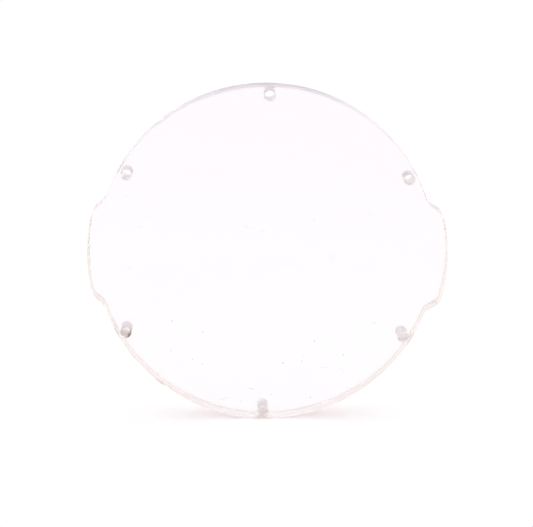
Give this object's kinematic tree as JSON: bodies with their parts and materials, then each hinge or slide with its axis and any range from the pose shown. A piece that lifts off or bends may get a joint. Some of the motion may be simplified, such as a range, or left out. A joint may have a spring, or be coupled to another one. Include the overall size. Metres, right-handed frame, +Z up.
{
  "type": "clear cover plate",
  "caption": "Thick clear acrylic cover disc with a shallow ear on each side and screw holes on a bolt circle near its rim.",
  "frame": {"origin": "centre of the bolt circle, halfway through the plate's thickness", "axes": "+Y through the thickness from the front face to the back face; +X across the plate to the taller ear; +Z up, to one of the screw holes"},
  "size_m": [0.1116, 0.01, 0.1054],
  "materials": {
    "clear_acrylic": "polished faces, machined rim, frosted bores"
  },
  "bodies": {
    "root": {"clear_plate": "clear_acrylic"}
  },
  "joints": []
}
